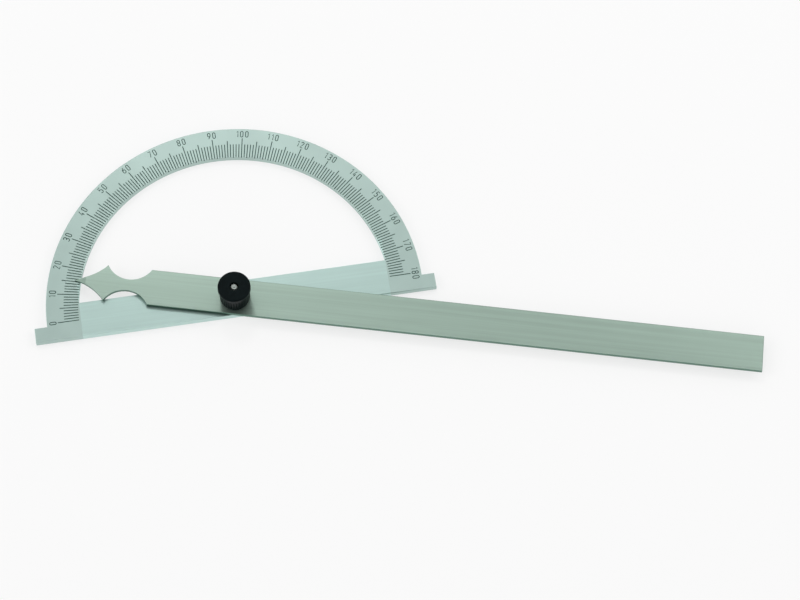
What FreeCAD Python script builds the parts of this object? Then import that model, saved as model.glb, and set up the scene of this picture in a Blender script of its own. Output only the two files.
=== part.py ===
"""Degree protractor with an open arc and a swinging blade.

A flat steel scale plate (a half ring standing on a straight bar) carries a flush clamp stud.
The blade turns on the stud's journal, and a ribbed plastic knob with a brass thread insert
clamps it there through a captive washer.

Frame: origin on the pivot axis at the plate's underside, +X along the bar towards the
180 degree end of the scale, +Y from the bar towards the 90 degree mark, +Z up.
All sizes are millimetres and degrees.
"""
import FreeCAD, Part
import math
import os

import Sketcher

# alias, value, what it sets
SIZES = (
    ("arc_outer_radius", 75.0, "outer edge of the degree arc"),
    ("arc_inner_radius", 62.0, "inner edge of the degree arc"),
    ("plate_thickness", 2.5, "sheet that the arc and the bar are cut from"),
    ("bar_length", 160.0, "straight bar, end to end"),
    ("bar_drop", 7.3, "pivot line down to the bar's working edge"),
    ("tab_drop", 1.1, "pivot line down to the upper edge of the bar's two end tabs"),
    ("base_rise", 7.3, "pivot line up to the bar's upper edge inside the arc"),
    ("plate_edge_break", 0.2, "chamfer round the plate's upper face"),
    ("blade_width", 15.0, "blade, edge to edge"),
    ("blade_thickness", 1.5, "sheet that the blade is cut from"),
    ("blade_reach", 210.2, "pivot to the blade's square end"),
    ("blade_edge_break", 0.15, "chamfer along the blade's upper edges"),
    ("blade_angle", 15.35, "scale reading at which the blade stands"),
    ("pointer_reach", 64.2, "pivot to the pointer's tip"),
    ("pointer_tip_width", 0.3, "flat left on the pointer's tip"),
    ("pointer_tip_angle", 11.5, "slope of the hollow flanks where they meet at the tip"),
    ("pointer_tip_thickness", 0.2, "metal left at the tip under the bevel"),
    ("pointer_bevel_length", 4.4, "ground bevel, tip to full thickness"),
    ("notch_radius", 10.0, "round notches behind the pointer's ears"),
    ("notch_setback", 43.0, "pivot to the notches' centre line"),
    ("neck_width", 4.6, "metal left between the two notches"),
    ("journal_radius", 3.0, "stud's plain journal that the blade turns on"),
    ("journal_clearance", 0.05, "radial play of the blade on the journal"),
    ("journal_sink", 0.1, "journal's top below the blade's upper face"),
    ("stud_head_radius", 4.5, "stud's flush head"),
    ("stud_head_thickness", 1.0, "stud's flush head"),
    ("thread_radius", 1.5, "stud's threaded end, M3"),
    ("thread_clearance", 0.05, "radial play in the thread insert"),
    ("stud_end_chamfer", 0.3, "chamfer on the stud's free end"),
    ("stud_end_sink", 0.3, "stud's end below the knob's top face"),
    ("shim_radius", 6.0, "friction shim between plate and blade"),
    ("shim_thickness", 0.2, "friction shim between plate and blade"),
    ("washer_radius", 5.3, "clamp washer in the knob's foot"),
    ("washer_thickness", 0.5, "clamp washer in the knob's foot"),
    ("washer_play", 0.1, "radial play of a washer on the stud and in its recess"),
    ("foot_gap", 0.1, "knob's foot above the blade when clamped"),
    ("knob_height", 10.1, "knob, foot to top face"),
    ("knob_head_radius", 6.5, "smooth collar at the knob's top"),
    ("knob_head_height", 2.2, "smooth collar at the knob's top"),
    ("knob_grip_radius", 6.0, "ribbed grip below the collar"),
    ("knob_eye_radius", 1.75, "hole in the top face over the stud's end"),
    ("knob_rim_fillet", 0.5, "rounding of the collar's upper edge"),
    ("knob_edge_fillet", 0.2, "rounding of the collar's lower edge"),
    ("knob_foot_chamfer", 0.3, "chamfer round the grip's foot"),
    ("rib_groove_depth", 0.25, "V grooves between the grip's ribs"),
    ("rib_groove_width", 0.5, "V grooves between the grip's ribs"),
    ("rib_count", 36.0, "grooves round the grip"),
    ("insert_radius", 2.75, "brass thread insert"),
    ("insert_length", 6.0, "brass thread insert"),
    ("insert_neck_radius", 2.35, "neck that the moulding keys into"),
    ("insert_neck_length", 1.6, "neck that the moulding keys into"),
)

BLADE_FLOOR = "sizes.plate_thickness + sizes.shim_thickness"
BLADE_TOP = BLADE_FLOOR + " + sizes.blade_thickness"
RECESS_DEPTH = "sizes.washer_thickness - sizes.foot_gap"

doc = FreeCAD.newDocument("DegreeProtractor")
sheet = doc.addObject("Spreadsheet::Sheet", "sizes")


def fill_sheet():
    """Write the driving sizes into the sheet, one named cell each."""
    for row, (alias, value, meaning) in enumerate(SIZES, start=1):
        sheet.set("A%d" % row, alias)
        sheet.set("B%d" % row, str(value))
        sheet.set("C%d" % row, meaning)
        sheet.setAlias("B%d" % row, alias)
    doc.recompute()


def size(alias):
    """A driving size as a number, for the first guess at a sketch's geometry."""
    return float(sheet.get(alias))


def vec(x, y):
    return FreeCAD.Vector(x, y, 0)


def new_body(name):
    body = doc.addObject("PartDesign::Body", name)
    body.Label = name
    return body


def origin_feature(body, role):
    """One of the body's own origin planes or axes, found by its role."""
    return [item for item in body.Origin.OriginFeatures if item.Role == role][0]


def new_sketch(body, name, plane_role):
    sketch = body.newObject("Sketcher::SketchObject", name)
    sketch.AttachmentSupport = (origin_feature(body, plane_role), [""])
    sketch.MapMode = "FlatFace"
    return sketch


def constrain(sketch, *terms):
    return sketch.addConstraint(Sketcher.Constraint(*terms))


def dimension(sketch, expression, kind, *terms):
    """Add a length to a sketch, at its value from the start, and bind it to the sheet."""
    index = constrain(sketch, kind, *terms, float(sketch.evalExpression(expression)))
    sketch.setExpression("Constraints[%d]" % index, expression)


def circle(sketch, expression):
    """A circle about the sketch's origin."""
    radius = float(sketch.evalExpression(expression))
    index = sketch.addGeometry(Part.Circle(vec(0, 0), FreeCAD.Vector(0, 0, 1), radius))
    constrain(sketch, "Coincident", index, 3, -1, 1)
    dimension(sketch, expression, "Radius", index)
    return index


def arc_through(centre, start, end):
    """The arc that runs counter-clockwise from start to end about centre."""
    first = math.atan2(start.y - centre.y, start.x - centre.x)
    last = math.atan2(end.y - centre.y, end.x - centre.x)
    full = Part.Circle(centre, FreeCAD.Vector(0, 0, 1), (start - centre).Length)
    return Part.ArcOfCircle(full, first, last if last > first else last + 2 * math.pi)


def pad(body, sketch, length):
    feature = body.newObject("PartDesign::Pad", sketch.Name + "_pad")
    feature.Profile = sketch
    feature.setExpression("Length", length)
    sketch.Visibility = False
    doc.recompute()
    return feature


def cut_upwards(body, sketch, length):
    """Pocket that starts on the body's XY plane and cuts towards +Z."""
    feature = body.newObject("PartDesign::Pocket", sketch.Name + "_cut")
    feature.Profile = sketch
    feature.Reversed = True
    feature.setExpression("Length", length)
    doc.recompute()
    return feature


def edge_break(body, kind, name, edges, property_name, expression):
    """Chamfer or Fillet of the tip's edges that a test picks out."""
    base = body.Tip
    picked = ["Edge%d" % (i + 1) for i, edge in enumerate(base.Shape.Edges) if edges(edge)]
    feature = body.newObject("PartDesign::" + kind, name)
    feature.Base = (base, picked)
    feature.setExpression(property_name, expression)
    doc.recompute()
    return feature


def lies_at(edge, z):
    """True for an edge that lies flat at height z of its body."""
    return abs(edge.BoundBox.ZMin - z) < 1e-4 and abs(edge.BoundBox.ZMax - z) < 1e-4


def polyline_profile(body, name, points):
    """Closed half section in the XZ plane, from (radius, height) expressions of each corner.

    Each corner is a pair of expressions, and a corner's number comes from evaluating them.
    """
    sketch = new_sketch(body, name, "XZ_Plane")
    places = [vec(sketch.evalExpression(x), sketch.evalExpression(z)) for x, z in points]
    count = len(points)
    for i in range(count):
        sketch.addGeometry(Part.LineSegment(places[i], places[(i + 1) % count]))
    for i in range(count):
        constrain(sketch, "Coincident", i, 2, (i + 1) % count, 1)
    for i, (x, z) in enumerate(points):
        if places[i].x > 0:
            dimension(sketch, x, "DistanceX", -1, 1, i, 1)
        else:
            constrain(sketch, "PointOnObject", i, 1, -2)
        if places[i].y > 0:
            dimension(sketch, z, "DistanceY", -1, 1, i, 1)
        else:
            constrain(sketch, "PointOnObject", i, 1, -1)
    return sketch


def revolve(body, sketch):
    feature = body.newObject("PartDesign::Revolution", sketch.Name + "_turned")
    feature.Profile = sketch
    feature.ReferenceAxis = (sketch, ["V_Axis"])
    feature.Angle = 360.0
    sketch.Visibility = False
    doc.recompute()
    return feature


def make_scale_plate():
    """Arc and bar in one sheet, with the window between them and a seat for the stud."""
    body = new_body("scale_plate")
    outer = size("arc_outer_radius")
    inner = size("arc_inner_radius")
    half = size("bar_length") / 2
    low = -size("bar_drop")
    tab = -size("tab_drop")
    rise = size("base_rise")
    tab_x = math.sqrt(outer ** 2 - tab ** 2)
    rise_x = math.sqrt(inner ** 2 - rise ** 2)

    sketch = new_sketch(body, "plate_outline", "XY_Plane")
    corners = [vec(-half, tab), vec(-half, low), vec(half, low), vec(half, tab), vec(tab_x, tab)]
    for start, end in zip(corners, corners[1:]):
        sketch.addGeometry(Part.LineSegment(start, end))
    sketch.addGeometry(arc_through(vec(0, 0), vec(tab_x, tab), vec(-tab_x, tab)))
    sketch.addGeometry(Part.LineSegment(vec(-tab_x, tab), corners[0]))
    left, bottom, right, right_tab, arc, left_tab = range(6)
    for i in range(6):
        constrain(sketch, "Coincident", i, 2, (i + 1) % 6, 1)
    for line in (left, right):
        constrain(sketch, "Vertical", line)
    for line in (right_tab, left_tab):
        constrain(sketch, "Horizontal", line)
    constrain(sketch, "Symmetric", bottom, 1, bottom, 2, -2)
    constrain(sketch, "Coincident", arc, 3, -1, 1)
    dimension(sketch, "sizes.arc_outer_radius", "Radius", arc)
    dimension(sketch, "sizes.bar_length", "DistanceX", bottom, 1, bottom, 2)
    dimension(sketch, "sizes.bar_drop", "DistanceY", bottom, 1, -1, 1)
    dimension(sketch, "sizes.tab_drop", "DistanceY", right_tab, 1, -1, 1)
    dimension(sketch, "sizes.tab_drop", "DistanceY", left_tab, 1, -1, 1)

    sill = sketch.addGeometry(Part.LineSegment(vec(-rise_x, rise), vec(rise_x, rise)))
    window = sketch.addGeometry(arc_through(vec(0, 0), vec(rise_x, rise), vec(-rise_x, rise)))
    constrain(sketch, "Coincident", sill, 2, window, 1)
    constrain(sketch, "Coincident", window, 2, sill, 1)
    constrain(sketch, "Horizontal", sill)
    constrain(sketch, "Coincident", window, 3, -1, 1)
    dimension(sketch, "sizes.arc_inner_radius", "Radius", window)
    dimension(sketch, "sizes.base_rise", "DistanceY", -1, 1, sill, 1)
    circle(sketch, "sizes.journal_radius")
    pad(body, sketch, "sizes.plate_thickness")

    seat = new_sketch(body, "stud_seat", "XY_Plane")
    circle(seat, "sizes.stud_head_radius")
    cut_upwards(body, seat, "sizes.stud_head_thickness")

    top = size("plate_thickness")
    edge_break(body, "Chamfer", "plate_top_edges",
               lambda edge: lies_at(edge, top) and not edge.isClosed(),
               "Size", "sizes.plate_edge_break")
    return body


def make_clamp_stud():
    """Stud with a flush head in the plate, a journal for the blade and an M3 end."""
    body = new_body("clamp_stud")
    journal_top = BLADE_TOP + " - sizes.journal_sink"
    end = BLADE_TOP + " + sizes.foot_gap + sizes.knob_height - sizes.stud_end_sink"
    sketch = polyline_profile(body, "stud_section", (
        ("0", "0"),
        ("sizes.stud_head_radius", "0"),
        ("sizes.stud_head_radius", "sizes.stud_head_thickness"),
        ("sizes.journal_radius", "sizes.stud_head_thickness"),
        ("sizes.journal_radius", journal_top),
        ("sizes.thread_radius", journal_top),
        ("sizes.thread_radius", end + " - sizes.stud_end_chamfer"),
        ("sizes.thread_radius - sizes.stud_end_chamfer", end),
        ("0", end),
    ))
    revolve(body, sketch)
    return body


def make_ring(name, hole, radius, thickness, height):
    """Flat washer: expressions for its hole, rim, thickness and the height it lies at."""
    body = new_body(name)
    sketch = new_sketch(body, name + "_outline", "XY_Plane")
    circle(sketch, radius)
    circle(sketch, hole)
    pad(body, sketch, thickness)
    body.setExpression("Placement.Base.z", height)
    return body


def make_blade():
    """Blade with a square end, and a pointer with hollow flanks, ears, notches and a bevel."""
    body = new_body("blade")
    half = size("blade_width") / 2
    reach = size("blade_reach")
    back = size("notch_setback")
    notch = size("notch_radius")
    notch_y = size("neck_width") / 2 + notch
    notch_half = math.sqrt(notch ** 2 - (notch_y - half) ** 2)
    ear = vec(-back - notch_half, half)
    shoulder = vec(-back + notch_half, half)
    tip = vec(-size("pointer_reach"), size("pointer_tip_width") / 2)
    tip_slope = math.radians(size("pointer_tip_angle"))
    chord = ear - tip
    across_flank = vec(-math.sin(tip_slope), math.cos(tip_slope))
    flank_centre = tip + across_flank * (chord.dot(chord) / (2 * chord.dot(across_flank)))

    def mirror(point):
        return vec(point.x, -point.y)

    notch_centre = vec(-back, notch_y)
    sketch = new_sketch(body, "blade_outline", "XY_Plane")
    pieces = [
        Part.LineSegment(mirror(shoulder), vec(reach, -half)),
        Part.LineSegment(vec(reach, -half), vec(reach, half)),
        Part.LineSegment(vec(reach, half), shoulder),
        arc_through(notch_centre, ear, shoulder),
        arc_through(flank_centre, tip, ear),
        Part.LineSegment(tip, mirror(tip)),
        arc_through(mirror(flank_centre), mirror(ear), mirror(tip)),
        arc_through(mirror(notch_centre), mirror(shoulder), mirror(ear)),
    ]
    for piece in pieces:
        sketch.addGeometry(piece)
    low, end, high, notch_a, flank_a, nose, flank_b, notch_b = range(8)
    joins = ((low, 2, end, 1), (end, 2, high, 1), (high, 2, notch_a, 2), (notch_a, 1, flank_a, 2),
             (flank_a, 1, nose, 1), (nose, 2, flank_b, 2), (flank_b, 1, notch_b, 2),
             (notch_b, 1, low, 1))
    for join in joins:
        constrain(sketch, "Coincident", *join)
    for line in (low, high):
        constrain(sketch, "Horizontal", line)
    for line in (end, nose):
        constrain(sketch, "Symmetric", line, 1, line, 2, -1)
    constrain(sketch, "PointOnObject", notch_a, 1, high)
    constrain(sketch, "PointOnObject", notch_b, 2, low)
    constrain(sketch, "Symmetric", notch_a, 3, notch_b, 3, -1)
    dimension(sketch, "sizes.blade_width", "DistanceY", end, 1, end, 2)
    dimension(sketch, "sizes.blade_reach", "DistanceX", -1, 1, end, 1)
    dimension(sketch, "sizes.pointer_reach", "DistanceX", nose, 1, -1, 1)
    dimension(sketch, "sizes.pointer_tip_width", "DistanceY", nose, 2, nose, 1)
    dimension(sketch, "sizes.notch_setback", "DistanceX", notch_a, 3, -1, 1)
    dimension(sketch, "sizes.neck_width / 2 + sizes.notch_radius", "DistanceY", -1, 1, notch_a, 3)
    for arc in (notch_a, notch_b):
        dimension(sketch, "sizes.notch_radius", "Radius", arc)
    constrain(sketch, "Equal", flank_a, flank_b)
    spoke = sketch.addGeometry(Part.LineSegment(flank_centre, tip), True)
    constrain(sketch, "Coincident", spoke, 1, flank_a, 3)
    constrain(sketch, "Coincident", spoke, 2, flank_a, 1)
    spoke_angle = constrain(sketch, "Angle", spoke, tip_slope - math.pi / 2)
    sketch.setExpression("Constraints[%d]" % spoke_angle, "sizes.pointer_tip_angle * 1 deg - 90 deg")
    circle(sketch, "sizes.journal_radius + sizes.journal_clearance")
    pad(body, sketch, "sizes.blade_thickness")

    top = size("blade_thickness")
    shoulder_x = shoulder.x
    edge_break(body, "Chamfer", "blade_top_edges",
               lambda edge: (lies_at(edge, top) and isinstance(edge.Curve, Part.Line)
                             and edge.BoundBox.XMax > shoulder_x),
               "Size", "sizes.blade_edge_break")
    cut_pointer_bevel(body)
    body.Placement.Rotation = FreeCAD.Rotation(FreeCAD.Vector(0, 0, -1), size("blade_angle"))
    body.setExpression("Placement.Rotation.Angle", "sizes.blade_angle * 1 deg")
    body.setExpression("Placement.Base.z", BLADE_FLOOR)
    return body


def cut_pointer_bevel(body):
    """Grind the pointer's upper face down to a thin tip, so that it reads close to the scale."""
    reach = size("pointer_reach")
    start = reach - size("pointer_bevel_length")
    thin = size("pointer_tip_thickness")
    thick = size("blade_thickness")
    sketch = new_sketch(body, "pointer_bevel", "XZ_Plane")
    corners = [vec(-reach, thin), vec(-start, thick), vec(-reach, thick)]
    for i in range(3):
        sketch.addGeometry(Part.LineSegment(corners[i], corners[(i + 1) % 3]))
    slope, upper, outer = range(3)
    for i in range(3):
        constrain(sketch, "Coincident", i, 2, (i + 1) % 3, 1)
    constrain(sketch, "Horizontal", upper)
    constrain(sketch, "Vertical", outer)
    dimension(sketch, "sizes.pointer_reach", "DistanceX", slope, 1, -1, 1)
    dimension(sketch, "sizes.pointer_tip_thickness", "DistanceY", -1, 1, slope, 1)
    dimension(sketch, "sizes.blade_thickness", "DistanceY", -1, 1, upper, 1)
    dimension(sketch, "sizes.pointer_bevel_length", "DistanceX", outer, 1, upper, 1)
    feature = body.newObject("PartDesign::Pocket", "pointer_bevel_cut")
    feature.Profile = sketch
    feature.SideType = "Symmetric"
    feature.setExpression("Length", "sizes.blade_width")
    doc.recompute()


def insert_corners(base):
    """Outer corners of the thread insert, bottom to top, above a base height expression."""
    band = "(sizes.insert_length - sizes.insert_neck_length) / 2"
    return (
        ("sizes.insert_radius", base),
        ("sizes.insert_radius", "%s + %s" % (base, band)),
        ("sizes.insert_neck_radius", "%s + %s" % (base, band)),
        ("sizes.insert_neck_radius", "%s + %s + sizes.insert_neck_length" % (base, band)),
        ("sizes.insert_radius", "%s + %s + sizes.insert_neck_length" % (base, band)),
        ("sizes.insert_radius", "%s + sizes.insert_length" % base),
    )



def make_knob_insert():
    """Brass bush with a neck that the knob's moulding keys into."""
    body = new_body("knob_insert")
    bore = "sizes.thread_radius + sizes.thread_clearance"
    corners = ((bore, "0"),) + insert_corners("0") + ((bore, "sizes.insert_length"),)
    revolve(body, polyline_profile(body, "insert_section", corners))
    body.setExpression("Placement.Base.z", BLADE_TOP + " + sizes.washer_thickness")
    return body


def make_knob():
    """Plastic knob: smooth collar over a ribbed grip, moulded round the thread insert."""
    body = new_body("knob")
    head_base = "sizes.knob_height - sizes.knob_head_height"
    recess = "sizes.washer_radius + sizes.washer_play"
    top_of_insert = RECESS_DEPTH + " + sizes.insert_length"
    corners = (
        (recess, "0"),
        ("sizes.knob_grip_radius", "0"),
        ("sizes.knob_grip_radius", head_base),
        ("sizes.knob_head_radius", head_base),
        ("sizes.knob_head_radius", "sizes.knob_height"),
        ("sizes.knob_eye_radius", "sizes.knob_height"),
        ("sizes.knob_eye_radius", top_of_insert),
    ) + tuple(reversed(insert_corners(RECESS_DEPTH))) + ((recess, RECESS_DEPTH),)
    revolve(body, polyline_profile(body, "knob_section", corners))

    top = size("knob_height")
    head_low = top - size("knob_head_height")
    head_radius = size("knob_head_radius")
    grip_radius = size("knob_grip_radius")

    def circle_at(edge, radius, z):
        return lies_at(edge, z) and abs(edge.BoundBox.XMax - radius) < 1e-4

    edge_break(body, "Fillet", "collar_upper_edge",
               lambda edge: circle_at(edge, head_radius, top), "Radius", "sizes.knob_rim_fillet")
    edge_break(body, "Fillet", "collar_lower_edge",
               lambda edge: circle_at(edge, head_radius, head_low), "Radius", "sizes.knob_edge_fillet")
    edge_break(body, "Chamfer", "foot_edge",
               lambda edge: circle_at(edge, grip_radius, 0), "Size", "sizes.knob_foot_chamfer")
    cut_grip_ribs(body, head_base)
    body.setExpression("Placement.Base.z", BLADE_TOP + " + sizes.foot_gap")
    return body


def cut_grip_ribs(body, head_base):
    """V grooves cut up the grip from the foot to the collar, all round the axis."""
    radius = size("knob_grip_radius")
    depth = size("rib_groove_depth")
    width = size("rib_groove_width")
    corners = [vec(radius - depth, 0), vec(radius + depth, -width), vec(radius + depth, width)]
    sketch = new_sketch(body, "rib_groove", "XY_Plane")
    for i in range(3):
        sketch.addGeometry(Part.LineSegment(corners[i], corners[(i + 1) % 3]))
    for i in range(3):
        constrain(sketch, "Coincident", i, 2, (i + 1) % 3, 1)
    constrain(sketch, "PointOnObject", 0, 1, -1)
    constrain(sketch, "Symmetric", 1, 1, 1, 2, -1)
    dimension(sketch, "sizes.knob_grip_radius - sizes.rib_groove_depth", "DistanceX", -1, 1, 0, 1)
    dimension(sketch, "sizes.rib_groove_depth * 2", "DistanceX", 0, 1, 1, 1)
    dimension(sketch, "sizes.rib_groove_width * 2", "DistanceY", 1, 1, 1, 2)
    groove_cut = cut_upwards(body, sketch, head_base)
    ribs = body.newObject("PartDesign::PolarPattern", "grip_ribs")
    ribs.Originals = [groove_cut]
    ribs.Axis = (origin_feature(body, "Z_Axis"), [""])
    ribs.Angle = 360.0
    ribs.setExpression("Occurrences", "sizes.rib_count")
    body.Tip = ribs
    doc.recompute()


def check_model(bodies):
    """Stop if any object failed or any sub-part's shape is not one valid solid."""
    for item in doc.Objects:
        if "Invalid" in item.State or "Error" in item.State:
            raise RuntimeError("%s failed: %s" % (item.Name, item.State))
    for body in bodies:
        shape = body.Shape
        if shape.isNull() or not shape.isValid() or len(shape.Solids) != 1:
            raise RuntimeError("%s has no single valid solid" % body.Label)


def main():
    fill_sheet()
    bodies = [
        make_scale_plate(),
        make_clamp_stud(),
        make_ring("friction_shim", "sizes.journal_radius + sizes.washer_play",
                  "sizes.shim_radius", "sizes.shim_thickness", "sizes.plate_thickness"),
        make_blade(),
        make_ring("clamp_washer", "sizes.thread_radius + sizes.washer_play",
                  "sizes.washer_radius", "sizes.washer_thickness", BLADE_TOP),
        make_knob_insert(),
        make_knob(),
    ]
    doc.recompute()
    check_model(bodies)
    os.makedirs("parts", exist_ok=True)
    for body in bodies:
        body.Shape.exportStep("parts/%s.step" % body.Label)
        print("%-14s volume %9.2f mm3" % (body.Label, body.Shape.Volume))


main()
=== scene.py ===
"""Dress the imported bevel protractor: its etched scale, its threaded stud, its metals and its stage.

The solids come from the frame and keep their shape. Lines, numbers and the screw
thread are modelled here, and every solid gets a procedural finish.
"""

import math

import bmesh
import bpy
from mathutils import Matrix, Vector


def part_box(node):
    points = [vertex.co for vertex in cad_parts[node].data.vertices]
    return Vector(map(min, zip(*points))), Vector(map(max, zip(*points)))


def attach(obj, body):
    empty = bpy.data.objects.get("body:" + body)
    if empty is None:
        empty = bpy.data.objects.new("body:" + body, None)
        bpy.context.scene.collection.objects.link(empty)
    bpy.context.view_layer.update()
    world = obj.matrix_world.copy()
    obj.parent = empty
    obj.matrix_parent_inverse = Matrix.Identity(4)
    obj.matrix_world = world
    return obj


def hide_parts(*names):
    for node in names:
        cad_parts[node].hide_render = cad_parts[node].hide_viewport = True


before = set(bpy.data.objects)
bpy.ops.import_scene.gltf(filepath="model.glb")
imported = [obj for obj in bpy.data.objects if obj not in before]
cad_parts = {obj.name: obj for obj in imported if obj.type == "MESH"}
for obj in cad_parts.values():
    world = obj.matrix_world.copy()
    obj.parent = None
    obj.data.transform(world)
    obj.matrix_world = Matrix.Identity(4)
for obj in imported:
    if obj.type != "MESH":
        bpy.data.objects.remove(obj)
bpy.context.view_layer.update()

bl_info = {
    "name": "Bevel protractor",
    "version": (1, 0, 0),
    "blender": (4, 5, 0),
    "location": "3D View > Sidebar > Protractor",
    "description": "Models the scale, the stud and the finishes of a bevel protractor",
    "category": "Add Mesh",
}

MM = 0.001
PLATE_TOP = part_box("scale_plate")[1].z
BLADE_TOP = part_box("blade")[1].z
STUD_LOW, STUD_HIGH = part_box("clamp_stud")

# Turn of the blade from the bar's line, as it rests.
BLADE_TURN = math.radians(-15.35)

# Smallest lengths of a drawn digit: the pen's first point, and points that count as one.
PEN_POINT = 0.01 * MM

# Degrees of a digit's round stroke between two of its points.
ARC_STEP = 24

# Share of the way to the back over which the ceiling goes from dim to bright.
CEILING_FADE = (-0.1, 0.2)

# Each lamp's name, place, target and edge, in metres, and the setting with its power.
LAMPS = (
    ("lamp_back", (0.0, 0.84, 1.0), (0.03, 0.0, 0.0), 0.22, "lamp_power"),
    ("lamp_end", (0.75, 0.55, 1.05), (0.18, -0.05, 0.0), 0.3, "end_power"),
    ("lamp_left", (-1.1, 0.1, 0.85), (0.0, 0.0, 0.0), 0.7, "fill_power"),
    ("lamp_right", (1.2, 0.1, 0.85), (0.0, 0.0, 0.0), 0.7, "fill_power"),
)


# ---------------------------------------------------------------- settings


def length(name, description, millimetres):
    """A size that a user can change, kept in metres."""
    return bpy.props.FloatProperty(
        name=name, description=description, default=millimetres * MM,
        min=0.0, precision=5, unit="LENGTH",
    )


def colour(name, description, red, green, blue):
    """A colour that a user can change, given as display values from 0 to 255."""
    linear = [channel_to_linear(value / 255) for value in (red, green, blue)]
    return bpy.props.FloatVectorProperty(
        name=name, description=description, default=linear,
        size=3, min=0.0, max=1.0, subtype="COLOR",
    )


def channel_to_linear(value):
    """Turn one display channel, from 0 to 1, into linear light."""
    if value <= 0.04045:
        return value / 12.92
    return ((value + 0.055) / 1.055) ** 2.4


class ScaleSettings(bpy.types.PropertyGroup):
    """Sizes and colour of the etched lines and numbers."""

    inner_radius: length("Inner radius", "Radius at which every line starts", 62.0)
    one_radius: length("Degree line end", "Outer end of the single degree lines", 68.05)
    five_radius: length("Five line end", "Outer end of the five degree lines", 69.65)
    ten_radius: length("Ten line end", "Outer end of the ten degree lines", 70.75)
    edge_break: length("Edge break", "Chamfer of the arc that the lines cross", 0.2)
    line_width: length("Line width", "Width of a line", 0.36)
    line_depth: length("Line depth", "How deep a line goes into the plate", 0.06)
    ink_rise: length("Ink rise", "How far the ink stands above the plate", 0.012)
    number_radius: length("Number radius", "Radius of the numbers' feet", 71.1)
    number_height: length("Number height", "Height of a number", 2.9)
    digit_width: length("Digit width", "Width of every digit but 1", 1.36)
    one_width: length("One width", "Width of the digit 1", 0.86)
    digit_gap: length("Digit gap", "Space between two digits", 0.72)
    stroke: length("Stroke", "Width of a number's strokes", 0.33)
    ink: colour("Ink", "Colour of the lines and numbers", 44, 74, 66)


class StudSettings(bpy.types.PropertyGroup):
    """Sizes of the clamp stud and its thread."""

    head_height: length("Head height", "Thickness of the flush head", 1.0)
    journal_radius: length("Journal radius", "Radius that the blade turns on", 3.0)
    journal_sink: length("Journal sink", "Step of the journal below the blade's face", 0.1)
    thread_radius: length("Thread radius", "Radius over the thread's crests", 1.5)
    core_radius: length("Core radius", "Radius at the thread's root", 1.2)
    pitch: length("Pitch", "Rise of the thread in one turn", 0.5)
    end_chamfer: length("End chamfer", "Chamfer at the stud's free end", 0.3)
    centre_radius: length("Centre radius", "Radius of the turning centre in the end", 0.42)
    centre_depth: length("Centre depth", "Depth of the turning centre", 0.35)
    steel: colour("Steel", "Colour of the turned steel", 178, 186, 181)


class FinishSettings(bpy.types.PropertyGroup):
    """Colours of the solids."""

    arc_steel: colour("Arc steel", "Satin steel of the arc and the bar's ends", 181, 202, 196)
    bar_steel: colour("Bar steel", "Brushed steel of the bar's middle", 195, 221, 215)
    blade_steel: colour("Blade steel", "Brushed steel of the blade", 177, 200, 187)
    # Darker colour that is painted as shade on the blade's tilted faces, its bevel and its walls
    bevel_steel: colour("Bevel steel", "Ground bevel of the pointer", 96, 128, 114)
    washer_steel: colour("Washer steel", "Bright steel of the washer", 196, 200, 198)
    brass: colour("Brass", "Thread insert and friction shim", 201, 168, 98)
    plastic: colour("Plastic", "Moulded knob", 11, 20, 21)
    bar_half_length: length("Bar middle", "Half length of the brushed middle", 61.5)


class StageSettings(bpy.types.PropertyGroup):
    """Floor, lamps and camera."""

    floor: colour("Floor", "Colour of the floor", 250, 250, 250)
    floor_glow: bpy.props.FloatProperty(
        name="Floor glow", description="Share of the floor that shows as plain white",
        default=0.72, min=0.0, max=1.0, subtype="FACTOR",
    )
    floor_size: length("Floor size", "Edge of the square floor", 6000.0)
    band_level: bpy.props.FloatProperty(
        name="Band level", description="Strength of the pale band round the horizon",
        default=1.0, min=0.0,
    )
    ceiling_level: bpy.props.FloatProperty(
        name="Ceiling level", description="Strength of the light from overhead, behind the arc",
        default=0.45, min=0.0,
    )
    front_level: bpy.props.FloatProperty(
        name="Front level", description="Strength of the light from overhead, in front",
        default=0.1, min=0.0,
    )
    band_top: bpy.props.FloatProperty(
        name="Band top", description="Height over the horizon to which the band is even",
        default=28.0, min=0.0, max=90.0,
    )
    ceiling_start: bpy.props.FloatProperty(
        name="Ceiling start", description="Height over the horizon at which the band has faded",
        default=52.0, min=0.0, max=90.0,
    )
    lamp_power: bpy.props.FloatProperty(
        name="Lamp power", description="Power of the lamp behind the arc", default=1.9,
        min=0.0, unit="POWER",
    )
    end_power: bpy.props.FloatProperty(
        name="End power", description="Power of the lamp behind the blade's far end",
        default=1.0, min=0.0, unit="POWER",
    )
    fill_power: bpy.props.FloatProperty(
        name="Fill power", description="Power of the lamps at the sides", default=4.0,
        min=0.0, unit="POWER",
    )
    camera_place: bpy.props.FloatVectorProperty(
        name="Camera place", description="Where the camera stands",
        default=(-0.013556, -0.372320, 0.892689), size=3, subtype="TRANSLATION",
        unit="LENGTH", precision=6,
    )
    camera_turn: bpy.props.FloatVectorProperty(
        name="Camera turn", description="How the camera is turned",
        default=[math.radians(angle) for angle in (22.534, -1.250, -9.190)],
        size=3, subtype="EULER", unit="ROTATION",
    )
    camera_lens: bpy.props.FloatProperty(
        name="Focal length", description="Focal length on a 36 mm sensor",
        default=109.003, min=1.0, unit="CAMERA",
    )


# ---------------------------------------------------------------- modelling


def clear_selection():
    """Leave edit mode and deselect everything, the frame's solids included."""
    if bpy.context.mode != "OBJECT":
        bpy.ops.object.mode_set(mode="OBJECT")
    bpy.ops.object.select_all(action="DESELECT")


def make_active(piece):
    clear_selection()
    piece.select_set(True)
    bpy.context.view_layer.objects.active = piece


def open_piece(piece):
    """Start to edit a piece with nothing in it selected."""
    make_active(piece)
    bpy.ops.object.mode_set(mode="EDIT")
    bpy.ops.mesh.select_mode(type="VERT")
    bpy.ops.mesh.select_all(action="DESELECT")


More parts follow.
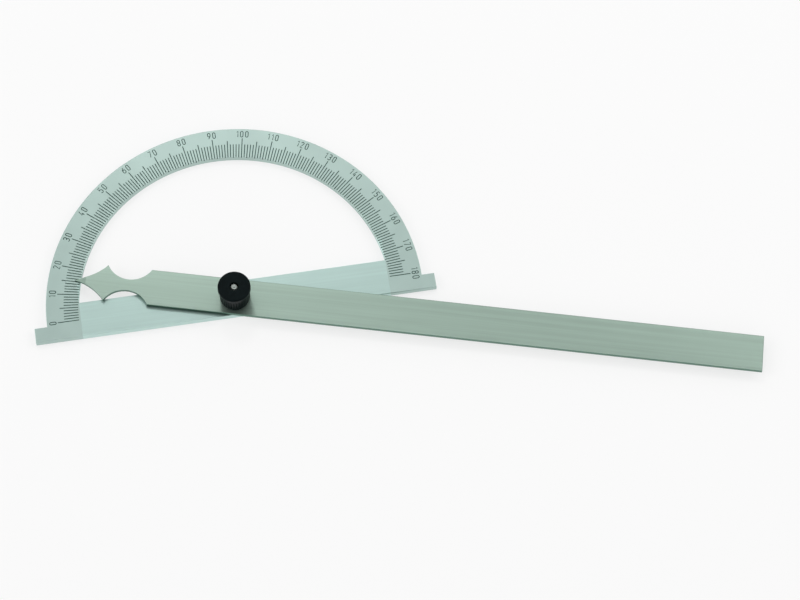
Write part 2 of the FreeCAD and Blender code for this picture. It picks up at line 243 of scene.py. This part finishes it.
def close_piece(piece, name):
    """Stop editing, name the piece and put its place into its mesh."""
    bpy.ops.object.mode_set(mode="OBJECT")
    bpy.ops.object.transform_apply(location=True, rotation=True, scale=True)
    piece.name = name
    piece.data.name = name
    return piece


def select_points(test):
    """Select the points of the edited piece that pass a test of their place."""
    piece = bpy.context.edit_object
    bpy.ops.mesh.select_mode(type="VERT")
    mesh = bmesh.from_edit_mesh(piece.data)
    for point in mesh.verts:
        point.select_set(bool(test(point.co)))
    mesh.select_flush(True)
    mesh.select_flush(False)
    bmesh.update_edit_mesh(piece.data)


def select_faces(test):
    """Select the faces of the edited piece by the place of their middle and their normal."""
    piece = bpy.context.edit_object
    bpy.ops.mesh.select_mode(type="FACE")
    mesh = bmesh.from_edit_mesh(piece.data)
    mesh.normal_update()
    for face in mesh.faces:
        face.select_set(bool(test(face.calc_center_median(), face.normal)))
    bmesh.update_edit_mesh(piece.data)


def tidy_shell():
    """Merge doubled points of the edited piece and turn all its faces outwards."""
    bpy.ops.mesh.select_all(action="SELECT")
    bpy.ops.mesh.remove_doubles(threshold=0.0005 * MM)
    bpy.ops.mesh.normals_make_consistent(inside=False)


def repeat_round(steps, angle):
    """Copy all of the edited piece clockwise round the pivot, in equal steps."""
    bpy.ops.mesh.select_all(action="SELECT")
    bpy.ops.mesh.spin(
        steps=steps, dupli=True, angle=angle, center=(0, 0, 0), axis=(0, 0, 1),
    )


def dress(piece, body, material):
    piece.data.materials.clear()
    piece.data.materials.append(material)
    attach(piece, body)


# ---------------------------------------------------------------- scale lines


def model_line(settings, degrees, outer_radius):
    """One etched line with a rounded outer end, whose inner end follows the arc's chamfer."""
    line_length = outer_radius - settings.inner_radius
    thickness = settings.line_depth + settings.ink_rise
    middle = -(outer_radius + settings.inner_radius) / 2
    height = PLATE_TOP + settings.ink_rise - thickness / 2
    clear_selection()
    bpy.ops.mesh.primitive_cube_add(size=1, location=(middle, 0, height))
    piece = bpy.context.object
    piece.scale = (line_length, settings.line_width, thickness)
    bpy.ops.object.transform_apply(location=True, rotation=True, scale=True)
    open_piece(piece)
    bpy.ops.mesh.select_all(action="SELECT")
    bpy.ops.mesh.bisect(
        plane_co=(-settings.inner_radius - settings.edge_break, 0, 0), plane_no=(1, 0, 0),
    )
    inner_end = -settings.inner_radius - settings.edge_break / 2
    select_points(lambda place: place.x > inner_end)
    bpy.ops.transform.translate(value=(0, 0, -settings.edge_break))
    outer_end = -outer_radius + settings.line_width / 10
    select_points(lambda place: place.x < outer_end)
    bpy.ops.mesh.bevel(offset=settings.line_width * 0.4, segments=2, affect="EDGES")
    tidy_shell()
    bpy.ops.object.mode_set(mode="OBJECT")
    piece.rotation_euler.z = -math.radians(degrees)
    bpy.ops.object.transform_apply(location=True, rotation=True, scale=True)
    open_piece(piece)
    return piece


class PROTRACTOR_OT_scale_lines(bpy.types.Operator):
    """Model the lines of the scale, one length at a time, from 0 to 180 degrees"""

    bl_idname = "protractor.scale_lines"
    bl_label = "Scale lines"

    def execute(self, context):
        settings = context.scene.protractor_scale
        ink = ink_finish(settings)

        tens = model_line(settings, 0, settings.ten_radius)
        repeat_round(18, math.radians(180))
        close_piece(tens, "scale_lines_ten")

        fives = model_line(settings, 5, settings.five_radius)
        repeat_round(17, math.radians(170))
        close_piece(fives, "scale_lines_five")

        # The lines at 1 to 4 degrees, and then that group after every five degrees.
        ones = model_line(settings, 1, settings.one_radius)
        repeat_round(3, math.radians(3))
        repeat_round(35, math.radians(175))
        close_piece(ones, "scale_lines_one")

        for piece in (tens, fives, ones):
            dress(piece, "base", ink)
        return {"FINISHED"}


# ---------------------------------------------------------------- scale numbers


class Pen:
    """Draws a digit as strokes of edges, by extruding and spinning its last point."""

    def __init__(self, settings, width):
        self.width = width - settings.stroke
        self.height = settings.number_height - settings.stroke
        self.radius = (settings.digit_width - settings.stroke) / 2
        self.place = (0.0, 0.0)
        clear_selection()
        bpy.ops.mesh.primitive_plane_add(size=settings.stroke)
        self.piece = bpy.context.object
        open_piece(self.piece)
        bpy.ops.mesh.select_all(action="SELECT")
        bpy.ops.mesh.delete(type="VERT")

    def start(self, x, y):
        """Put the pen down at a place given in parts of the digit's width and height."""
        bpy.ops.mesh.select_all(action="DESELECT")
        self.place = (x * self.width, y * self.height)
        bpy.ops.mesh.primitive_plane_add(size=PEN_POINT, location=(*self.place, 0))
        bpy.ops.mesh.merge(type="CENTER")
        return self

    def line(self, x, y):
        """Draw straight to a place given in parts of the digit's width and height."""
        target = (x * self.width, y * self.height)
        move = (target[0] - self.place[0], target[1] - self.place[1], 0)
        bpy.ops.mesh.extrude_region_move(TRANSFORM_OT_translate={"value": move})
        self.place = target
        return self

    def arc(self, y, first, last):
        """Draw an arc about the digit's middle line, at a height, between two directions."""
        centre = (self.width / 2, y)
        sweep = math.radians(last - first)
        steps = max(2, round(abs(last - first) / ARC_STEP))
        bpy.ops.mesh.spin(
            steps=steps, angle=sweep, center=(*centre, 0), axis=(0, 0, -1),
        )
        end = math.radians(last)
        self.place = (
            centre[0] + self.radius * math.cos(end),
            centre[1] + self.radius * math.sin(end),
        )
        return self

    def down(self, distance):
        """Draw straight down by a length, or up where it is negative."""
        bpy.ops.mesh.extrude_region_move(TRANSFORM_OT_translate={"value": (0, -distance, 0)})
        self.place = (self.place[0], self.place[1] - distance)
        return self


def loop(pen, low, high):
    """A closed upright loop between two heights, in parts of the digit's height."""
    low, high = low * pen.height, high * pen.height
    straight = high - low - 2 * pen.radius
    pen.start(0, (low + pen.radius) / pen.height)
    pen.down(-straight)
    pen.arc(high - pen.radius, 180, 0)
    pen.down(straight)
    pen.arc(low + pen.radius, 0, -180)


def bowl(pen, low, high, first, last):
    """An open bowl on the right, from a direction at its top to one at its foot."""
    low, high = low * pen.height, high * pen.height
    straight = high - low - 2 * pen.radius
    pen.arc(high - pen.radius, first, 0)
    pen.down(straight)
    pen.arc(low + pen.radius, 0, last)


def arc_start(pen, y, degrees):
    """Put the pen down where an arc about the middle line begins."""
    angle = math.radians(degrees)
    x = pen.width / 2 + pen.radius * math.cos(angle)
    pen.start(x / pen.width, (y + pen.radius * math.sin(angle)) / pen.height)


def draw_zero(pen):
    loop(pen, 0, 1)


def draw_one(pen):
    pen.start(0, 0.8).line(1, 1).line(1, 0)


def draw_two(pen):
    top = pen.height - pen.radius
    arc_start(pen, top, 172)
    pen.arc(top, 172, -28)
    pen.line(0, 0).line(1, 0)


def draw_three(pen):
    arc_start(pen, pen.height - pen.radius, 160)
    bowl(pen, 0.5, 1, 160, -90)
    pen.line(0.32, 0.5)
    pen.start(0.5, 0.5)
    bowl(pen, 0, 0.5, 90, -160)


def draw_four(pen):
    pen.start(0.62, 1).line(0, 0.26).line(1, 0.26)
    pen.start(0.72, 0.52).line(0.72, 0)


def draw_five(pen):
    pen.start(0.95, 1).line(0.06, 1).line(0.03, 0.56)
    low_arc = 0.62 * pen.height - pen.radius
    arc_start(pen, low_arc, 158)
    bowl(pen, 0, 0.62, 158, -160)


def draw_six(pen):
    loop(pen, 0, 0.6)
    pen.start(0.72, 1).line(0.12, 0.58).line(0, 0.38)


def draw_seven(pen):
    pen.start(0, 1).line(1, 1).line(0.3, 0)


def draw_eight(pen):
    loop(pen, 0, 0.52)
    loop(pen, 0.52, 1)


def draw_nine(pen):
    loop(pen, 0.4, 1)
    pen.start(0.28, 0).line(0.88, 0.42).line(1, 0.62)


DIGITS = {
    "0": draw_zero, "1": draw_one, "2": draw_two, "3": draw_three, "4": draw_four,
    "5": draw_five, "6": draw_six, "7": draw_seven, "8": draw_eight, "9": draw_nine,
}


def digit_width(settings, character):
    return settings.one_width if character == "1" else settings.digit_width


def model_digit(settings, character):
    """One digit as low rounded strokes of ink, with its foot and left side at the origin."""
    pen = Pen(settings, digit_width(settings, character))
    DIGITS[character](pen)
    bpy.ops.mesh.select_all(action="SELECT")
    bpy.ops.mesh.remove_doubles(threshold=PEN_POINT)
    bpy.ops.object.mode_set(mode="OBJECT")
    bpy.ops.object.convert(target="CURVE")
    piece = bpy.context.object
    piece.data.bevel_depth = settings.stroke / 2
    piece.data.bevel_resolution = 1
    piece.data.use_fill_caps = True
    bpy.ops.object.convert(target="MESH")
    piece = bpy.context.object
    open_piece(piece)
    bpy.ops.mesh.select_all(action="SELECT")
    bpy.ops.transform.resize(
        value=(1, 1, 2 * settings.ink_rise / settings.stroke),
        center_override=(0, 0, 0),
    )
    half_stroke = settings.stroke / 2
    bpy.ops.transform.translate(value=(half_stroke, half_stroke, PLATE_TOP))
    tidy_shell()
    return close_piece(piece, "digit_" + character)


def copy_digit(pattern, x, y):
    """A copy of a digit with its own mesh, moved to its place in a number."""
    make_active(pattern)
    bpy.ops.object.duplicate(linked=False)
    piece = bpy.context.object
    piece.location = (x, y, 0)
    bpy.ops.object.transform_apply(location=True, rotation=True, scale=True)
    return piece


def model_number(settings, patterns, value):
    """One number, centred on its line, with its top outwards."""
    text = str(value)
    widths = [digit_width(settings, character) for character in text]
    x = -(sum(widths) + settings.digit_gap * (len(text) - 1)) / 2
    digits = []
    for character, width in zip(text, widths):
        digits.append(copy_digit(patterns[character], x, settings.number_radius))
        x += width + settings.digit_gap
    clear_selection()
    for piece in digits:
        piece.select_set(True)
    bpy.context.view_layer.objects.active = digits[0]
    if len(digits) > 1:
        bpy.ops.object.join()
    piece = bpy.context.object
    piece.rotation_euler.z = math.radians(90 - value)
    return close_piece(piece, "scale_number_%d" % value)


class PROTRACTOR_OT_scale_numbers(bpy.types.Operator):
    """Model each digit once, and set copies of them as the numbers 0 to 180"""

    bl_idname = "protractor.scale_numbers"
    bl_label = "Scale numbers"

    def execute(self, context):
        settings = context.scene.protractor_scale
        ink = ink_finish(settings)
        patterns = {character: model_digit(settings, character) for character in DIGITS}
        for value in range(0, 181, 10):
            piece = model_number(settings, patterns, value)
            dress(piece, "base", ink)
        clear_selection()
        for pattern in patterns.values():
            pattern.select_set(True)
        bpy.ops.object.delete()
        return {"FINISHED"}


# ---------------------------------------------------------------- clamp stud


def grow_step(radius_from, radius_to, height):
    """Inset the selected end face to a smaller radius and extrude it to a height."""
    bpy.ops.mesh.inset(thickness=radius_from - radius_to)
    bpy.ops.mesh.extrude_region_move(TRANSFORM_OT_translate={"value": (0, 0, height)})


def model_stud_core(settings):
    """The turned stud: flush head, journal, thread core, chamfered end and turning centre."""
    head_radius = STUD_HIGH.x
    head_top = STUD_LOW.z + settings.head_height
    clear_selection()
    bpy.ops.mesh.primitive_cylinder_add(
        vertices=96, radius=head_radius, depth=settings.head_height,
        location=(0, 0, STUD_LOW.z + settings.head_height / 2),
    )
    piece = bpy.context.object
    bpy.ops.object.transform_apply(location=True, rotation=True, scale=True)
    open_piece(piece)
    select_faces(lambda place, normal: normal.z > 0.9)
    journal_top = BLADE_TOP - settings.journal_sink
    grow_step(head_radius, settings.journal_radius, journal_top - head_top)
    shank_top = STUD_HIGH.z - settings.end_chamfer
    grow_step(settings.journal_radius, settings.core_radius, shank_top - journal_top)
    bpy.ops.mesh.extrude_region_move(
        TRANSFORM_OT_translate={"value": (0, 0, settings.end_chamfer)}
    )
    share = 1 - settings.end_chamfer / 2 / settings.core_radius
    bpy.ops.transform.resize(value=(share, share, 1))
    end_radius = settings.core_radius * share
    grow_step(end_radius, settings.centre_radius, -settings.centre_depth)
    tip_share = 0.1
    bpy.ops.transform.resize(value=(tip_share, tip_share, 1))
    tidy_shell()
    return close_piece(piece, "stud_core")


def model_thread(settings):
    """The helical ridge of the thread, from above the journal to the stud's chamfer."""
    depth = settings.thread_radius - settings.core_radius
    # The ridge reaches into the core by a share of its depth, and narrows to its crest.
    ridge_share = 1.2
    foot_width = settings.pitch * 0.86
    crest_share = 0.15
    low = BLADE_TOP + settings.pitch
    high = STUD_HIGH.z - settings.end_chamfer
    turns = math.floor((high - low) / settings.pitch)
    clear_selection()
    bpy.ops.mesh.primitive_plane_add(size=1, location=(0, 0, 0))
    piece = bpy.context.object
    piece.scale = (depth * ridge_share, foot_width, 1)
    piece.rotation_euler = (math.radians(90), 0, 0)
    piece.location = (settings.thread_radius - depth * (ridge_share / 2), 0, low)
    bpy.ops.object.transform_apply(location=True, rotation=True, scale=True)
    open_piece(piece)
    crest = settings.thread_radius - depth / 4
    select_points(lambda place: place.x > crest)
    bpy.ops.transform.resize(value=(1, 1, crest_share))
    bpy.ops.object.mode_set(mode="OBJECT")
    screw = piece.modifiers.new("helix", "SCREW")
    screw.axis = "Z"
    screw.angle = 2 * math.pi
    screw.screw_offset = settings.pitch
    screw.iterations = turns
    screw.steps = 32
    screw.render_steps = 32
    screw.use_merge_vertices = False
    bpy.ops.object.modifier_apply(modifier=screw.name)
    open_piece(piece)
    tidy_shell()
    return close_piece(piece, "stud_thread")


class PROTRACTOR_OT_clamp_stud(bpy.types.Operator):
    """Model the clamp stud with a real thread, to stand for the plain stud"""

    bl_idname = "protractor.clamp_stud"
    bl_label = "Clamp stud"

    def execute(self, context):
        settings = context.scene.protractor_stud
        core = model_stud_core(settings)
        thread = model_thread(settings)
        make_active(core)
        thread.select_set(True)
        bpy.ops.object.join()
        bpy.ops.object.shade_smooth_by_angle(angle=math.radians(35))
        core.name = "threaded_stud"
        core.data.name = core.name
        dress(core, "base", turned_finish("stud_steel", settings.steel))
        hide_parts("clamp_stud")
        return {"FINISHED"}


# ---------------------------------------------------------------- finishes


class Finish:
    """A procedural material that is built node by node on Object coordinates."""

    def __init__(self, name):
        self.material = bpy.data.materials.new(name)
        self.material.use_nodes = True
        self.tree = self.material.node_tree
        self.shader = self.tree.nodes["Principled BSDF"]
        self.place = self.add("ShaderNodeTexCoord").outputs["Object"]

    def add(self, kind, inputs=(), **options):
        """Add a node, with its options and its inputs, each a value or another node's output."""
        node = self.tree.nodes.new(kind)
        for option, value in options.items():
            setattr(node, option, value)
        for socket, value in dict(inputs).items():
            self.connect(node.inputs[socket], value)
        return node

    def connect(self, socket, value):
        if isinstance(value, bpy.types.NodeSocket):
            self.tree.links.new(value, socket)
        else:
            socket.default_value = value

    def set(self, **sockets):
        """Give the shader's sockets their values or links, by names with _ for spaces."""
        for name, value in sockets.items():
            self.connect(self.shader.inputs[name.replace("_", " ")], value)

    def stretched(self, turn, along, across):
        """Object coordinates turned about Z, in cells of a length along and a length across."""
        mapping = self.add(
            "ShaderNodeMapping",
            {"Vector": self.place, "Rotation": (0, 0, turn), "Scale": (along, across, across)},
            vector_type="TEXTURE",
        )
        return mapping.outputs["Vector"]

    def noise(self, vector, scale, detail=3.0, roughness=0.6):
        node = self.add(
            "ShaderNodeTexNoise",
            {"Vector": vector, "Scale": scale, "Detail": detail, "Roughness": roughness},
        )
        return node.outputs["Fac"]

    def range(self, value, low, high, to_low=0.0, to_high=1.0):
        """Map a value from one range to another."""
        node = self.add(
            "ShaderNodeMapRange",
            {"Value": value, "From Min": low, "From Max": high,
             "To Min": to_low, "To Max": to_high},
        )
        return node.outputs["Result"]

    def math(self, operation, *values):
        node = self.add("ShaderNodeMath", operation=operation)
        for index, value in enumerate(values):
            self.connect(node.inputs[index], value)
        return node.outputs["Value"]

    def mix(self, share, first, second):
        """Mix two colours, each a colour or another node's output."""
        node = self.add("ShaderNodeMix", data_type="RGBA")
        colour_sockets = [s for s in node.inputs if s.type == "RGBA"]
        self.connect(node.inputs["Factor"], share)
        for socket, value in zip(colour_sockets, (first, second)):
            self.connect(socket, value)
        return [s for s in node.outputs if s.type == "RGBA"][0]

    def mix_value(self, share, first, second):
        node = self.add("ShaderNodeMix", data_type="FLOAT")
        value_sockets = [s for s in node.inputs if s.type == "VALUE" and s.name in "AB"]
        self.connect(node.inputs["Factor"], share)
        for socket, value in zip(value_sockets, (first, second)):
            self.connect(socket, value)
        return [s for s in node.outputs if s.type == "VALUE"][0]

    def bump(self, height, strength, distance):
        node = self.add(
            "ShaderNodeBump",
            {"Height": height, "Strength": strength, "Distance": distance},
        )
        return node.outputs["Normal"]

    def axis(self, name):
        node = self.add("ShaderNodeSeparateXYZ", {"Vector": self.place})
        return node.outputs[name]


def opaque(linear, share=1.0):
    """A colour property as red, green, blue and alpha, made darker by a share."""
    return (linear[0] * share, linear[1] * share, linear[2] * share, 1.0)


def ink_finish(settings):
    """Baked ink: dark, matt and a little uneven."""
    found = bpy.data.materials.get("etched_ink")
    if found:
        return found
    finish = Finish("etched_ink")
    patches = finish.noise(finish.place, 900)
    finish.set(
        Base_Color=finish.mix(
            finish.range(patches, 0.35, 0.65), opaque(settings.ink, 0.85),
            opaque(settings.ink, 1.15),
        ),
        Roughness=finish.range(patches, 0.3, 0.7, 0.5, 0.7),
        Specular_IOR_Level=0.3,
        Normal=finish.bump(patches, 0.2, 0.00002),
    )
    return finish.material


def plate_finish(settings):
    """Satin arc and bar ends, round a bar whose middle is brushed along its length."""
    finish = Finish("plate_steel")
    x = finish.axis("X")
    y = finish.axis("Y")
    half = settings.bar_half_length
    edge = 0.15 * MM
    inside = finish.range(finish.math("ABSOLUTE", x), half - edge, half + edge, 1.0, 0.0)
    on_bar = finish.range(y, 16 * MM, 18 * MM, 1.0, 0.0)
    brushed = finish.math("MULTIPLY", inside, on_bar)

    grain = finish.noise(finish.place, 5200, 4.0)
    clouds = finish.noise(finish.place, 55, 2.0)
    streaks = finish.noise(finish.stretched(0, 17 * MM, 0.19 * MM), 1.0, 4.0)
    bands = finish.noise(finish.stretched(0, 80 * MM, 1.6 * MM), 1.0, 3.0)

    satin = finish.mix(
        finish.range(clouds, 0.3, 0.7), opaque(settings.arc_steel, 0.95),
        opaque(settings.arc_steel, 1.04),
    )
    lined = finish.mix(
        finish.range(bands, 0.3, 0.7), opaque(settings.bar_steel, 0.95),
        opaque(settings.bar_steel, 1.04),
    )
    finish.set(
        Base_Color=finish.mix(brushed, satin, lined),
        Metallic=1.0,
        Roughness=finish.mix_value(
            brushed, finish.range(grain, 0.3, 0.7, 0.42, 0.5),
            finish.range(streaks, 0.3, 0.7, 0.3, 0.44),
        ),
        Normal=finish.bump(
            finish.mix_value(brushed, grain, streaks), 0.25, 0.000012,
        ),
    )
    return finish.material


def blade_finish(settings):
    """Steel brushed along the blade. Every face that tilts away from up, the pointer's ground bevel
    and the blade's walls, takes a darker colour as painted shade.
    """
    finish = Finish("blade_steel")
    streaks = finish.noise(finish.stretched(BLADE_TURN, 22 * MM, 0.19 * MM), 1.0, 4.0)
    bands = finish.noise(finish.stretched(BLADE_TURN, 110 * MM, 1.5 * MM), 1.0, 3.0)
    long_bands = finish.noise(finish.stretched(BLADE_TURN, 400 * MM, 0.7 * MM), 1.0, 2.0)
    lined = finish.mix(
        finish.range(bands, 0.3, 0.7), opaque(settings.blade_steel, 0.93),
        opaque(settings.blade_steel, 1.05),
    )
    lined = finish.mix(
        finish.range(long_bands, 0.5, 0.75, 0.0, 0.35), lined,
        opaque(settings.blade_steel, 0.8),
    )
    # Faces tilted away from up, the bevel and the walls, get the darker colour by their tilt: painted
    # shade
    tilt = finish.add("ShaderNodeNewGeometry").outputs["Normal"]
    up = finish.add("ShaderNodeSeparateXYZ", {"Vector": tilt}).outputs["Z"]
    steep_shade = finish.range(up, 0.9, 0.98, 1.0, 0.0)
    finish.set(
        Base_Color=finish.mix(steep_shade, lined, opaque(settings.bevel_steel)),
        Metallic=1.0,
        Roughness=finish.range(streaks, 0.3, 0.7, 0.3, 0.44),
        Normal=finish.bump(streaks, 0.3, 0.000012),
    )
    return finish.material


def turned_finish(name, linear):
    """Steel with fine rings from turning."""
    finish = Finish(name)
    x = finish.axis("X")
    y = finish.axis("Y")
    radius = finish.math(
        "SQRT", finish.math("ADD", finish.math("MULTIPLY", x, x), finish.math("MULTIPLY", y, y))
    )
    waves = finish.math("SINE", finish.math("MULTIPLY", radius, 60000.0))
    specks = finish.noise(finish.place, 2600)
    finish.set(
        Base_Color=finish.mix(
            finish.range(specks, 0.35, 0.7), opaque(linear, 0.9), opaque(linear, 1.04),
        ),
        Metallic=1.0,
        Roughness=finish.range(specks, 0.3, 0.7, 0.22, 0.36),
        Normal=finish.bump(finish.math("ADD", waves, specks), 0.15, 0.000008),
    )
    return finish.material


def brass_finish(settings):
    """Brass with a dull bloom in patches."""
    finish = Finish("clamp_brass")
    patches = finish.noise(finish.place, 420, 4.0)
    scratches = finish.noise(finish.stretched(0.4, 2 * MM, 0.17 * MM), 1.0, 3.0)
    finish.set(
        Base_Color=finish.mix(
            finish.range(patches, 0.35, 0.7), opaque(settings.brass),
            opaque(settings.brass, 0.7),
        ),
        Metallic=1.0,
        Roughness=finish.range(patches, 0.3, 0.7, 0.22, 0.4),
        Normal=finish.bump(scratches, 0.2, 0.00001),
    )
    return finish.material


def plastic_finish(settings):
    """Moulded thermoset plastic: almost black, finely textured, with dust in it."""
    finish = Finish("knob_plastic")
    texture = finish.noise(finish.place, 9000, 3.0)
    clouds = finish.noise(finish.place, 350, 3.0)
    finish.set(
        Base_Color=finish.mix(
            finish.range(clouds, 0.3, 0.7), opaque(settings.plastic, 0.8),
            opaque(settings.plastic, 1.25),
        ),
        Roughness=finish.range(clouds, 0.3, 0.7, 0.3, 0.4),
        Specular_IOR_Level=0.06,
        Normal=finish.bump(texture, 0.25, 0.00002),
    )
    return finish.material


class PROTRACTOR_OT_metal_finishes(bpy.types.Operator):
    """Give the plate, the blade, the shim, the insert and the washer their metals"""

    bl_idname = "protractor.metal_finishes"
    bl_label = "Metal finishes"

    def execute(self, context):
        settings = context.scene.protractor_finish
        brass = brass_finish(settings)
        finishes = {
            "scale_plate": plate_finish(settings),
            "blade": blade_finish(settings),
            "friction_shim": brass,
            "knob_insert": brass,
            "clamp_washer": turned_finish("washer_steel", settings.washer_steel),
        }
        for node, material in finishes.items():
            coat_node(node, material)
        return {"FINISHED"}


class PROTRACTOR_OT_knob_finish(bpy.types.Operator):
    """Give the knob its moulded plastic"""

    bl_idname = "protractor.knob_finish"
    bl_label = "Knob finish"

    def execute(self, context):
        coat_node("knob", plastic_finish(context.scene.protractor_finish))
        return {"FINISHED"}


def coat_node(node, material):
    """Give every material slot of a CAD node one material."""
    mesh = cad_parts[node].data
    if not mesh.materials:
        mesh.materials.append(material)
    for index in range(len(mesh.materials)):
        mesh.materials[index] = material


# ---------------------------------------------------------------- stage


def lay_floor(settings):
    """A plain white floor that shows white to the camera and keeps the shadow."""
    clear_selection()
    bpy.ops.mesh.primitive_plane_add(size=settings.floor_size, location=(0, 0, -0.02 * MM))
    piece = bpy.context.object
    bpy.ops.object.transform_apply(location=True, rotation=True, scale=True)
    piece.name = "floor"
    piece.data.name = "floor"

    finish = Finish("floor_white")
    finish.set(Base_Color=opaque(settings.floor), Roughness=0.9, Specular_IOR_Level=0.1)
    white = finish.add("ShaderNodeEmission", {"Color": (1, 1, 1, 1), "Strength": 1.0})
    rays = finish.add("ShaderNodeLightPath").outputs
    seen = finish.math(
        "MAXIMUM", rays["Is Camera Ray"],
        finish.math("MAXIMUM", rays["Is Glossy Ray"], rays["Is Transmission Ray"]),
    )
    share = finish.math("MULTIPLY", seen, settings.floor_glow)
    mixed = finish.add("ShaderNodeMixShader", {0: share})
    finish.tree.links.new(finish.shader.outputs["BSDF"], mixed.inputs[1])
    finish.tree.links.new(white.outputs["Emission"], mixed.inputs[2])
    output = finish.tree.nodes["Material Output"]
    finish.tree.links.new(mixed.outputs["Shader"], output.inputs["Surface"])
    piece.data.materials.append(finish.material)


def light_world(settings):
    """A pale band round the horizon under a dimmer ceiling, as in a plain studio."""
    world = bpy.data.worlds.new("studio")
    bpy.context.scene.world = world
    world.use_nodes = True
    tree = world.node_tree
    background = tree.nodes["Background"]
    background.inputs["Color"].default_value = (1, 1, 1, 1)
    place = tree.nodes.new("ShaderNodeTexCoord")
    direction = tree.nodes.new("ShaderNodeSeparateXYZ")
    tree.links.new(place.outputs["Generated"], direction.inputs["Vector"])

    def fade(value, low, high, first, last):
        """Go smoothly from a first to a last strength as a value passes two limits."""
        node = tree.nodes.new("ShaderNodeMapRange")
        node.interpolation_type = "SMOOTHSTEP"
        tree.links.new(value, node.inputs["Value"])
        for socket, setting in zip(("From Min", "From Max", "To Min"), (low, high, first)):
            node.inputs[socket].default_value = setting
        if isinstance(last, bpy.types.NodeSocket):
            tree.links.new(last, node.inputs["To Max"])
        else:
            node.inputs["To Max"].default_value = last
        return node.outputs["Result"]

    ceiling = fade(direction.outputs["Y"], *CEILING_FADE, settings.front_level,
                   settings.ceiling_level)
    level = fade(direction.outputs["Z"], math.sin(math.radians(settings.band_top)),
                 math.sin(math.radians(settings.ceiling_start)), settings.band_level, ceiling)
    tree.links.new(level, background.inputs["Strength"])


def hang_lamp(name, place, target, edge, power):
    """A square soft box that points from its place to a target."""
    clear_selection()
    bpy.ops.object.light_add(type="AREA", location=place)
    lamp = bpy.context.object
    lamp.name = name
    lamp.data.name = name
    lamp.data.shape = "RECTANGLE"
    lamp.data.size = edge
    lamp.data.size_y = edge
    lamp.data.energy = power
    toward = [to - at for to, at in zip(target, place)]
    across = math.hypot(toward[0], toward[1])
    tilt = math.atan2(across, -toward[2])
    turn = math.atan2(toward[1], toward[0]) - math.pi / 2
    lamp.rotation_euler = (tilt, 0, turn)


def stand_camera(settings):
    clear_selection()
    bpy.ops.object.camera_add(location=settings.camera_place, rotation=settings.camera_turn)
    camera = bpy.context.object
    camera.name = "camera"
    camera.data.lens = settings.camera_lens
    camera.data.sensor_width = 36.0
    camera.data.clip_start = 0.01
    camera.data.clip_end = 50.0
    bpy.context.scene.camera = camera


class PROTRACTOR_OT_stage(bpy.types.Operator):
    """Lay the floor, hang the lamps and stand the camera"""

    bl_idname = "protractor.stage"
    bl_label = "Stage"

    def execute(self, context):
        settings = context.scene.protractor_stage
        context.scene.view_settings.view_transform = "Standard"
        lay_floor(settings)
        light_world(settings)
        for name, place, target, edge, power in LAMPS:
            hang_lamp(name, place, target, edge, getattr(settings, power))
        stand_camera(settings)
        return {"FINISHED"}


# ---------------------------------------------------------------- panel


class PROTRACTOR_PT_panel(bpy.types.Panel):
    """Lists the steps that build the protractor"""

    bl_idname = "PROTRACTOR_PT_panel"
    bl_label = "Bevel protractor"
    bl_space_type = "VIEW_3D"
    bl_region_type = "UI"
    bl_category = "Protractor"

    def draw(self, context):
        for step in STEPS:
            self.layout.operator(step.bl_idname)
        for name in SETTINGS:
            box = self.layout.box()
            group = getattr(context.scene, name)
            for setting in group.bl_rna.properties:
                if setting.identifier not in {"rna_type", "name"}:
                    box.prop(group, setting.identifier)


STEPS = (
    PROTRACTOR_OT_scale_lines,
    PROTRACTOR_OT_scale_numbers,
    PROTRACTOR_OT_clamp_stud,
    PROTRACTOR_OT_metal_finishes,
    PROTRACTOR_OT_knob_finish,
    PROTRACTOR_OT_stage,
)
SETTINGS = {
    "protractor_scale": ScaleSettings,
    "protractor_stud": StudSettings,
    "protractor_finish": FinishSettings,
    "protractor_stage": StageSettings,
}


def register():
    for name, group in SETTINGS.items():
        bpy.utils.register_class(group)
        setattr(bpy.types.Scene, name, bpy.props.PointerProperty(type=group))
    for step in STEPS:
        bpy.utils.register_class(step)
    bpy.utils.register_class(PROTRACTOR_PT_panel)


def unregister():
    bpy.utils.unregister_class(PROTRACTOR_PT_panel)
    for step in reversed(STEPS):
        bpy.utils.unregister_class(step)
    for name, group in SETTINGS.items():
        delattr(bpy.types.Scene, name)
        bpy.utils.unregister_class(group)


def main():
    """Build the dressed protractor."""
    register()
    bpy.ops.protractor.scale_lines()
    bpy.ops.protractor.scale_numbers()
    bpy.ops.protractor.clamp_stud()
    bpy.ops.protractor.metal_finishes()
    bpy.ops.protractor.knob_finish()
    bpy.ops.protractor.stage()


if __name__ == "__main__":
    main()
